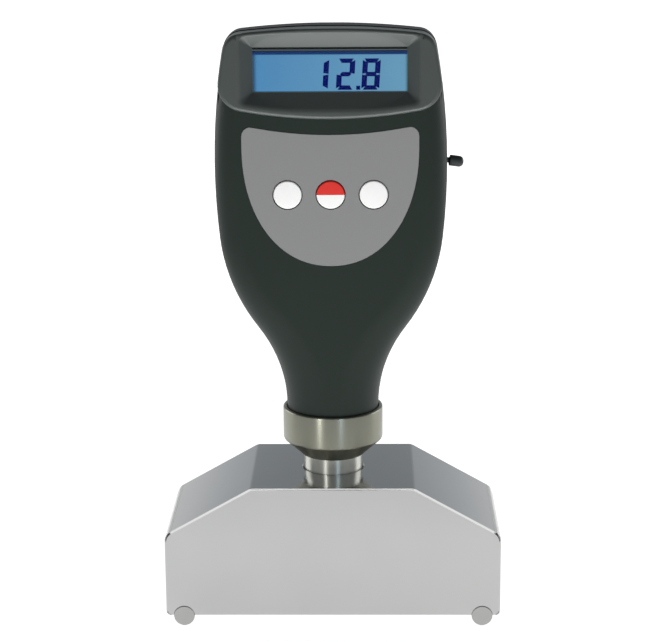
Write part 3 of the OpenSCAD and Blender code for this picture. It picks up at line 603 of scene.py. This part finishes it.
# Painted shade of the frame's walls: the glow falls towards dark at each side of the opening.
for wall, shadow_width, dark in ((-opening_half, 1.5 * mm, 0.3), (opening_half, -0.9 * mm, 0.5)):
    shade = add_node(glow, "ShaderNodeMapRange",
                     {"Value": split.outputs["X"], "From Min": wall, "From Max": wall + shadow_width,
                      "To Min": dark, "To Max": 1}, interpolation_type="SMOOTHSTEP")
    shaded = add_node(glow, "ShaderNodeMath", {0: level, 1: shade.outputs["Result"]}, operation="MULTIPLY")
    level = shaded.outputs["Value"]
patchy_field_with_painted_shade = add_node(glow, "ShaderNodeMix", {"Factor": 1, "A": field.outputs["Result"], "B": level},
                  data_type="RGBA", blend_type="MULTIPLY")
lit = add_node(glow, "ShaderNodeMix",
               {"Factor": above.outputs["Result"], "A": patchy_field_with_painted_shade.outputs["Result"],
                "B": border_and_painted_shade.outputs["Color"]}, data_type="RGBA")
wire(glow, lit.outputs["Result"], "Emission Color")
panel.data.materials.append(glow)
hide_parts("lcd_panel")
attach(panel, "housing")

# Three leaning figures of flat bars with mitred ends, and a square point. They lie on the panel
# as thin as ink, and stand for what the crystal darkens.
figure_height = 8.5 * mm
figure_width = 4.9 * mm
figure_lean = math.radians(3.5)
figures_middle = window_middle.z - 1.5 * mm
figure_places = (("1", -2.85 * mm), ("2", 4.25 * mm), ("8", 11.15 * mm))
segments_of = {"1": "bc", "2": "abged", "8": "abcdefg"}
flat_width = 1.2 * mm
flat_length = figure_width - 0.9 * mm
middle_length = figure_width - 1.75 * mm
upright_width = 1.45 * mm
upright_length = figure_height / 2 - 0.5 * mm
upright_row = 0.54
outer_mitre = 0.75 * mm
inner_mitre = 0.25 * mm
ink_thickness = 0.03 * mm
point_size = 1.1 * mm
point_x = 7.65 * mm
point_drop = 3.7 * mm


def segment(length, width, start_mitre, end_mitre, pointed=False):
    """One flat bar of a figure along X. A mitre at each end shortens its lower edge, or both edges."""
    nothing_selected()
    bpy.ops.mesh.primitive_cube_add(size=1, scale=(length, ink_thickness, width))
    bar = settle(start("segment"))
    if pointed:
        bpy.ops.object.mode_set(mode="EDIT")
        bpy.ops.mesh.select_all(action="SELECT")
        bpy.ops.mesh.bisect(plane_co=(0, 0, 0), plane_no=(0, 0, 1))
    for side, mitre in ((-1, start_mitre), (1, end_mitre)):
        pick(bar, "verts", lambda v: v.co.x * side > 0
             and (v.co.z < -width / 4 or (pointed and v.co.z > width / 4)))
        bpy.ops.transform.translate(value=(-side * mitre, 0, 0))
    return settle(bar)


flat_bar = segment(flat_length, flat_width, outer_mitre, outer_mitre)
middle_bar = segment(middle_length, flat_width, flat_width / 2, flat_width / 2, pointed=True)
start_bar = segment(upright_length, upright_width, outer_mitre, inner_mitre)
end_bar = segment(upright_length, upright_width, inner_mitre, outer_mitre)
reach_x = (figure_width - upright_width) / 2
reach_z = (figure_height - flat_width) / 2
# Each bar's pattern, its side, its row and its turn, with the lower edge towards the figure's middle.
segment_places = {
    "a": (flat_bar, 0, 1, 0),
    "b": (start_bar, 1, upright_row, 90),
    "c": (end_bar, 1, -upright_row, 90),
    "d": (flat_bar, 0, -1, 180),
    "e": (start_bar, -1, -upright_row, -90),
    "f": (end_bar, -1, upright_row, -90),
    "g": (middle_bar, 0, 0, 0),
}
lean = Matrix.Identity(4)
lean[0][2] = math.tan(figure_lean)
figure_bars = []
for figure, x in figure_places:
    for letter in segments_of[figure]:
        pattern, side, row, turn = segment_places[letter]
        bar = pattern.copy()
        bar.data = pattern.data.copy()
        bpy.context.scene.collection.objects.link(bar)
        bar.data.transform(Matrix.Rotation(math.radians(turn), 4, "Y"))
        bar.data.transform(Matrix.Translation((side * reach_x, 0, row * reach_z)))
        bar.data.transform(lean)
        bar.data.transform(Matrix.Translation((x, panel_front - ink_thickness / 2, figures_middle)))
        figure_bars.append(bar)
nothing_selected()
bpy.ops.mesh.primitive_cube_add(size=point_size, scale=(1, ink_thickness / point_size, 1),
                                location=(point_x, panel_front, figures_middle - point_drop))
figure_bars.append(settle(start("decimal_point")))
for spare in (flat_bar, middle_bar, start_bar, end_bar):
    bpy.data.objects.remove(spare)
nothing_selected()
for bar in figure_bars:
    bar.select_set(True)
bpy.context.view_layer.objects.active = figure_bars[0]
bpy.ops.object.join()
figures = settle(start("display_figures"))

# Dark liquid crystal: navy, because some of the backlight still comes through it.
ink = new_material("dark_liquid_crystal", Base_Color=linear("020628"), Roughness=0.4,
                   Specular_IOR_Level=0.03, Emission_Strength=0.7)
place = add_node(ink, "ShaderNodeTexCoord")
mist = add_node(ink, "ShaderNodeTexNoise", {"Vector": place.outputs["Object"], "Scale": 300})
tint = add_node(ink, "ShaderNodeMix",
                {"Factor": mist.outputs["Fac"], "A": linear("000C5C"), "B": linear("021470")},
                data_type="RGBA")
wire(ink, tint.outputs["Result"], "Emission Color")
figures.data.materials.append(ink)
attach(figures, "housing")

window_corner = 0.8 * mm
nothing_selected()
bpy.ops.mesh.primitive_cube_add(size=1, location=window_middle, scale=window_high - window_low)
window = settle(start("clear_window"))
pick(window, "edges", lambda e: abs(e.verts[0].co.y - e.verts[1].co.y) > 0.5 * mm)
bpy.ops.mesh.bevel(offset=window_corner, segments=5)
settle(window)

# Clear acrylic with an anti-glare coat, so it mirrors less than bare acrylic of IOR 1.49, and
# the display shows through it without a veil.
acrylic = new_material("coated_clear_acrylic", Base_Color=linear("F4F8FA"), Transmission_Weight=1, IOR=1.2)
place = add_node(acrylic, "ShaderNodeTexCoord")
wipe = add_node(acrylic, "ShaderNodeTexNoise", {"Vector": place.outputs["Object"], "Scale": 200})
dull = add_node(acrylic, "ShaderNodeMapRange",
                {"Value": wipe.outputs["Fac"], "To Min": 0.0, "To Max": 0.04})
wire(acrylic, dull.outputs["Result"], "Roughness")
window.data.materials.append(acrylic)
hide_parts("display_window")
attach(window, "housing")

# Label
# A polyester film, printed grey on its rear, stuck in a shallow recess of the front shell,
# with three holes for the keys. Its face is bare here.
label = dressed_copy("grey_label", "key_label")
even_shading(label, 25)

# Printed film: a mid grey that is nearly even, with a satin texture of 0.4 mm that keeps
# reflections wide and soft.
film = new_material("printed_film", Roughness=0.42, IOR=1.5)
place = add_node(film, "ShaderNodeTexCoord")
pits = add_node(film, "ShaderNodeTexNoise",
                {"Vector": place.outputs["Object"], "Scale": 2500, "Detail": 2})
relief = add_node(film, "ShaderNodeBump",
                  {"Height": pits.outputs["Fac"], "Strength": 0.05, "Distance": 0.02 * mm})
wire(film, relief.outputs["Normal"], "Normal")
tint = add_node(film, "ShaderNodeMix",
                {"Factor": pits.outputs["Fac"], "A": linear("828282"), "B": linear("898989")},
                data_type="RGBA")
wire(film, tint.outputs["Result"], "Base Color")
label.data.materials.append(film)
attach(label, "housing")

# Keys
# Three round keys of moulded ABS with a flange behind the shell's wall. Two are white, and the
# power key is printed red on its upper half.
key_low, key_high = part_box("power_key")
key_z = (key_low.z + key_high.z) / 2

# White ABS: bright, hardly warm, with a soft gloss that varies a little where fingers rub it.
white = new_material("white_abs", IOR=1.5)
place = add_node(white, "ShaderNodeTexCoord")
wipe = add_node(white, "ShaderNodeTexNoise", {"Vector": place.outputs["Object"], "Scale": 400})
tint = add_node(white, "ShaderNodeMix",
                {"Factor": wipe.outputs["Fac"], "A": linear("F5F5F3"), "B": linear("FAFAF8")},
                data_type="RGBA")
wire(white, tint.outputs["Result"], "Base Color")
dull = add_node(white, "ShaderNodeMapRange",
                {"Value": wipe.outputs["Fac"], "To Min": 0.26, "To Max": 0.36})
wire(white, dull.outputs["Result"], "Roughness")

# Pad print on white ABS: a clear red that ends in a sharp level line across the key's middle.
red_white = new_material("red_print_on_white_abs", IOR=1.5)
place = add_node(red_white, "ShaderNodeTexCoord")
wipe = add_node(red_white, "ShaderNodeTexNoise", {"Vector": place.outputs["Object"], "Scale": 400})
split = add_node(red_white, "ShaderNodeSeparateXYZ", {"Vector": place.outputs["Object"]})
upper = add_node(red_white, "ShaderNodeMath", {0: split.outputs["Z"], 1: key_z}, operation="GREATER_THAN")
tint = add_node(red_white, "ShaderNodeMix",
                {"Factor": upper.outputs["Value"], "A": linear("F8F8F6"), "B": linear("DC2C22")},
                data_type="RGBA")
wire(red_white, tint.outputs["Result"], "Base Color")
dull = add_node(red_white, "ShaderNodeMapRange",
                {"Value": wipe.outputs["Fac"], "To Min": 0.26, "To Max": 0.36})
wire(red_white, dull.outputs["Result"], "Roughness")

# Millimetres. A turned piece without a bore closes round a core as thin as a hair.
core = 0.05
stem_radius = 1.6
flange_front = 11.1
flange_thickness = 1
flange_step = 0.7
cap_rounding = 0.35


def key_cap(name, node, finish, body):
    """A key turned about the Y axis: stem, flange and a cap with an eased rim."""
    low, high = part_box(node)
    front = -low.y / mm
    rear = -high.y / mm
    flange_radius = (high.x - low.x) / 2 / mm
    cap_radius = flange_radius - flange_step
    flange_rear = flange_front - flange_thickness
    key = turned(name, [
        (core, rear), (stem_radius, rear), (stem_radius, flange_rear), (flange_radius, flange_rear),
        (flange_radius, flange_front), (cap_radius, flange_front),
        *quarter(cap_radius - cap_rounding, front - cap_rounding, cap_rounding, 0, 90),
        (core, front),
    ], 96)
    key.data.transform(Matrix.Rotation(math.pi / 2, 4, "X"))
    key.data.transform(Matrix.Translation(((low.x + high.x) / 2, 0, (low.z + high.z) / 2)))
    key.data.materials.append(finish)
    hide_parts(node)
    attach(key, body)


key_cap("left_key_cap", "left_key", white, "left_button")
key_cap("power_key_cap", "power_key", red_white, "power_button")
key_cap("right_key_cap", "right_key", white, "right_button")

# Side lever
# A short lever of glossy black nylon with a fat round tip. It tilts on a ball inside the
# switch, whose body sits behind the shell.
lever_lean = math.radians(8)
# Millimetres, along the lever from the middle of its ball.
ball_radius = 1.8
tip_radius = 1.55
tip_foot = 3.35
tip_end = 7.4
throat = [(0.75, 3.1), (0.8, 3.25), (1.1, tip_foot)]
foot_rounding = 0.4
end_rounding = 1.3
low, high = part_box("toggle_lever")
pivot = Vector((low.x + ball_radius * mm, 0, high.z - ball_radius * mm))
lever = turned("lever_arm", [
    (core, -ball_radius), *quarter(0, 0, ball_radius, -86, 65, 12), *throat,
    *quarter(tip_radius - foot_rounding, tip_foot + foot_rounding, foot_rounding, -70, 0, 4),
    *quarter(tip_radius - end_rounding, tip_end - end_rounding, end_rounding, 0, 88, 8),
    (core, tip_end),
], 64)
lever.data.transform(Matrix.Rotation(math.pi / 2 + lever_lean, 4, "Y"))
lever.data.transform(Matrix.Translation(pivot))

# Black nylon: near black and glossier than the housing, so that its round tip shows one small
# soft highlight.
nylon = new_material("black_nylon", Base_Color=linear("2A3030"), IOR=1.53)
place = add_node(nylon, "ShaderNodeTexCoord")
wipe = add_node(nylon, "ShaderNodeTexNoise",
                {"Vector": place.outputs["Object"], "Scale": 900, "Detail": 2})
dull = add_node(nylon, "ShaderNodeMapRange",
                {"Value": wipe.outputs["Fac"], "To Min": 0.24, "To Max": 0.38})
wire(nylon, dull.outputs["Result"], "Roughness")
relief = add_node(nylon, "ShaderNodeBump",
                  {"Height": wipe.outputs["Fac"], "Strength": 0.05, "Distance": 0.03 * mm})
wire(nylon, relief.outputs["Normal"], "Normal")
lever.data.materials.append(nylon)
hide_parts("toggle_lever")
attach(lever, "lever")

# Battery cover and rear screws
# The cover is moulded from the same grained ABS as the shells, with grip grooves near its
# upper end. Four blackened screws hold the shells together from the rear.
cover = dressed_copy("rear_cover", "battery_cover")
even_shading(cover, 25)
cover.data.materials.append(charcoal)
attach(cover, "cover")

# Blackened steel: a dark grey metal with a dull, slightly scuffed shine.
black_steel = new_material("blackened_steel", Base_Color=linear("3A3B3C"), Metallic=1)
place = add_node(black_steel, "ShaderNodeTexCoord")
scuff = add_node(black_steel, "ShaderNodeTexNoise",
                 {"Vector": place.outputs["Object"], "Scale": 1500, "Detail": 2})
dull = add_node(black_steel, "ShaderNodeMapRange",
                {"Value": scuff.outputs["Fac"], "To Min": 0.3, "To Max": 0.5})
wire(black_steel, dull.outputs["Result"], "Roughness")
screws = dressed_copy("rear_screws", "shell_screws")
even_shading(screws, 25)
screws.data.materials.append(black_steel)
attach(screws, "housing")


# Inner pieces
# What the closed housing hides keeps its solids' shapes: the sensor in the neck, the board,
# the cells and their contacts. Each gets the finish of its real material.
def fleck(name, dark, light, scale, dull_from, dull_to, **shader):
    """A material whose colour and polish vary in small patches, as on a bought part."""
    material = new_material(name, **shader)
    place = add_node(material, "ShaderNodeTexCoord")
    patches = add_node(material, "ShaderNodeTexNoise",
                       {"Vector": place.outputs["Object"], "Scale": scale, "Detail": 2})
    tint = add_node(material, "ShaderNodeMix",
                    {"Factor": patches.outputs["Fac"], "A": linear(dark), "B": linear(light)},
                    data_type="RGBA")
    wire(material, tint.outputs["Result"], "Base Color")
    dull = add_node(material, "ShaderNodeMapRange",
                    {"Value": patches.outputs["Fac"], "To Min": dull_from, "To Max": dull_to})
    wire(material, dull.outputs["Result"], "Roughness")
    return material


# Bronze is brown and dull, enamelled copper redder and glossy. Sprung and bright steel and milled
# aluminium shine. Ferrite, rubber, epoxy and the sheath are near black and matt, natural nylon is
# cream and a little milky, the opal acrylic is white, and the board is a glossy green.
inner_finishes = (
    (fleck("sintered_bronze", "9A7444", "B58B55", 3000, 0.35, 0.5, Metallic=1),
     ["lower_bush", "upper_bush"]),
    (fleck("plated_spring_steel", "A9A9A5", "BDBDB9", 1200, 0.25, 0.35, Metallic=1),
     ["spindle_spring", "contact_springs", "contact_plates"]),
    (fleck("bright_steel", "B4B4B2", "C2C2C0", 900, 0.2, 0.3, Metallic=1),
     ["spindle", "lock_nut"]),
    (fleck("milled_aluminium", "B2B3B5", "C0C1C3", 900, 0.3, 0.4, Metallic=1),
     ["bar_carrier"]),
    (fleck("ferrite", "2A2A2B", "353536", 2500, 0.6, 0.75),
     ["sensor_core"]),
    (fleck("natural_nylon", "DDD9CC", "E6E3D8", 700, 0.4, 0.5, Subsurface_Weight=0.1),
     ["coil_bobbin", "lead_plug"]),
    (fleck("enamelled_copper", "9A4B22", "B5622F", 4000, 0.3, 0.4, Metallic=1),
     ["coil_winding"]),
    (fleck("pvc_sheath", "141414", "1C1C1C", 1500, 0.45, 0.55),
     ["sensor_lead"]),
    (fleck("opal_acrylic", "F0F2F2", "F8F9F9", 300, 0.3, 0.4),
     ["backlight"]),
    (fleck("conductive_rubber", "3A3A3A", "464646", 3000, 0.7, 0.85),
     ["lcd_connectors"]),
    (fleck("green_solder_mask", "0E4B2A", "17603A", 900, 0.3, 0.42),
     ["main_board"]),
    (fleck("black_epoxy", "161616", "1E1E1E", 2000, 0.5, 0.65),
     ["board_chips", "key_switches", "toggle_switch"]),
    (black_steel, ["board_screws", "clamp_screw"]),
)
for finish, names in inner_finishes:
    for name in names:
        cad[name].data.materials.clear()
        cad[name].data.materials.append(finish)

# The cells' sleeves are of shrunk PVC: near black with a soft gloss, and bare of print.
cells = dressed_copy("cells", "batteries")
even_shading(cells)
cells.data.materials.append(fleck("shrunk_pvc_sleeve", "1C1D20", "26272B", 500, 0.25, 0.35))
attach(cells, "housing")

# Studio
# A wide white floor that shines up at the meter, soft lights beside and behind it, and a pale
# sky that darkens overhead. Strips and panels are placed for the metal and the display's frame.
nothing_selected()
bpy.ops.mesh.primitive_plane_add(size=16)
floor = start("floor")


def greys(*stops):
    """Grey colours from (place, level) pairs."""
    return [(position, (level, level, level, 1)) for position, level in stops]


# White paper: what the camera sees of it is white all over. Glossy and clear surfaces see it
# white beside the meter, and greyer from a hand's breadth on. The places on its two ramps go
# from 0 under the meter to 1 at two metres from it.
paper = new_material("white_paper", Base_Color=linear("EFEFEF"), Roughness=0.9, Specular_IOR_Level=0.1,
                     Emission_Color=(1, 1, 1, 1))
place = add_node(paper, "ShaderNodeTexCoord")
distance = add_node(paper, "ShaderNodeVectorMath", {0: place.outputs["Object"]}, operation="LENGTH")
reach = add_node(paper, "ShaderNodeMath", {0: distance.outputs["Value"], 1: 0.5}, operation="MULTIPLY")
seen_white = add_node(paper, "ShaderNodeValToRGB", {"Fac": reach.outputs["Value"]},
                      stops=greys((0.05, 0.84), (0.25, 0.9), (1, 1)))
seen_glossy = add_node(paper, "ShaderNodeValToRGB", {"Fac": reach.outputs["Value"]},
                       stops=greys((0.05, 0.9), (0.1, 0.74), (0.22, 0.2), (0.35, 0.15), (1, 0.5)))
rays = add_node(paper, "ShaderNodeLightPath")
mirrored = add_node(paper, "ShaderNodeMath",
                    {0: rays.outputs["Is Glossy Ray"], 1: rays.outputs["Is Transmission Ray"]},
                    operation="MAXIMUM")
to_camera = add_node(paper, "ShaderNodeMath",
                     {0: rays.outputs["Is Camera Ray"], 1: seen_white.outputs["Color"]},
                     operation="MULTIPLY")
floor_glow = add_node(paper, "ShaderNodeMath",
                      {0: mirrored.outputs["Value"], 1: seen_glossy.outputs["Color"],
                       2: to_camera.outputs["Value"]}, operation="MULTIPLY_ADD")
wire(paper, floor_glow.outputs["Value"], "Emission Strength")
floor.data.materials.append(paper)

# The sky is white to the camera. The pieces see it pale at the horizon and mid grey overhead.
world = bpy.data.worlds.new("studio_sky")
bpy.context.scene.world = world
world.use_nodes = True
sky = world.node_tree.nodes["Background"]
place = add_node(world, "ShaderNodeTexCoord")
split = add_node(world, "ShaderNodeSeparateXYZ", {"Vector": place.outputs["Generated"]})
sky_stops = (
    (0, linear("EDEEEE")), (0.08, linear("E3E4E5")), (0.17, linear("BFC4C8")),
    (0.3, linear("969CA0")), (0.5, linear("696A6B")), (1, linear("616161")),
)
sky_level = add_node(world, "ShaderNodeValToRGB", {"Fac": split.outputs["Z"]}, stops=sky_stops)
rays = add_node(world, "ShaderNodeLightPath")
backdrop = add_node(world, "ShaderNodeMix",
                    {"Factor": rays.outputs["Is Camera Ray"], "A": sky_level.outputs["Color"],
                     "B": (1, 1, 1, 1)}, data_type="RGBA")
world.node_tree.links.new(backdrop.outputs["Result"], sky.inputs["Color"])

meter_middle = Vector((0, 0, 0.09))
upwards = Vector((0, 0, 1))


def soft_light(name, place, direction, width, height, power, colour="FFFFFF", mirrored=True, only_in=()):
    """A rectangular light that no camera sees. Some aren't mirrored in anything, and some are only
    mirrored in the pieces given."""
    bpy.ops.object.light_add(type="AREA", location=place)
    lamp = bpy.context.object
    lamp.name = name
    lamp.data.shape = "RECTANGLE"
    lamp.data.size = width
    lamp.data.size_y = height
    lamp.data.energy = power
    lamp.data.color = linear(colour)[:3]
    lamp.visible_camera = False
    lamp.visible_glossy = mirrored
    if only_in:
        lamp.visible_diffuse = False
        lamp.light_linking.receiver_collection = bpy.data.collections.new(name + "_seen_in")
        for piece in only_in:
            lamp.light_linking.receiver_collection.objects.link(piece)
    lamp.rotation_mode = "QUATERNION"
    lamp.rotation_quaternion = direction.to_track_quat("-Z", "Y")


def light_round_meter(name, turn, rise, distance, width, height, power, **settings):
    """A soft light at a compass turn (0 is the front) and a rise in degrees, seen from the meter's
    middle, which it faces."""
    a = math.radians(turn)
    e = math.radians(rise)
    outwards = Vector((math.sin(a) * math.cos(e), -math.cos(a) * math.cos(e), math.sin(e)))
    soft_light(name, meter_middle + outwards * distance, -outwards, width, height, power, **settings)


# Turns and rises in degrees, distances and sizes in metres, power in watts.
light_round_meter("left_box", -120, 10, 1.4, 0.9, 0.9, 4.5)
light_round_meter("right_box", 120, 10, 1.4, 0.9, 0.9, 4.5)
light_round_meter("rear_box", 180, 30, 1.4, 1.2, 0.8, 3.5, mirrored=False)
soft_light("light_table", (0, -0.27, 0.004), upwards, 0.8, 0.44, 2.3, mirrored=False)
light_round_meter("left_strip", -29, 3, 1.2, 0.05, 0.36, 2.8, only_in=(tube, collar))
light_round_meter("right_strip", 19, 3, 1.2, 0.1, 0.36, 1.3, colour="D0E8FF", only_in=(tube, collar))
light_round_meter("top_panel", 0, 76, 1.2, 0.7, 0.15, 0.7, only_in=(block,))
light_round_meter("left_panel", -70, 51, 1.2, 0.8, 0.7, 2.6, only_in=(block,))
light_round_meter("right_panel", 70, 51, 1.2, 0.8, 0.7, 2.6, only_in=(block,))
soft_light("low_card", (0, -0.062, 0.07), upwards, 0.14, 0.08, 0.2, only_in=(bezel,))
